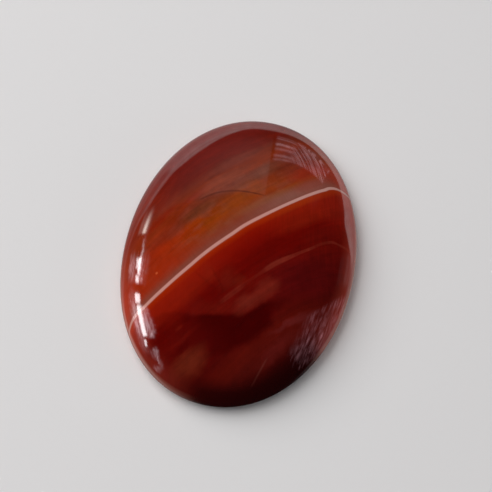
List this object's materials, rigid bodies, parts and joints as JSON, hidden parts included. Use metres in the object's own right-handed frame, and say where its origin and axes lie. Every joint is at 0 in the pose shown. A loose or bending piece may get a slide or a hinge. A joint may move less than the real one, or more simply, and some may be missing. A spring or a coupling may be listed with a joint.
{
  "type": "banded agate cabochon",
  "caption": "Oval low domed cabochon of banded red agate, polished all over the dome, with a bevelled lower edge and a flat ground back to rest on or glue into a setting.",
  "frame": {"origin": "middle of the flat back, where the stone rests", "axes": "+Z out of the top of the dome, +Y along the oval's long axis, +X along its short axis"},
  "size_m": [0.03, 0.04, 0.007],
  "materials": {
    "agate": "polished"
  },
  "bodies": {
    "root": {"cabochon": "agate"}
  },
  "joints": []
}
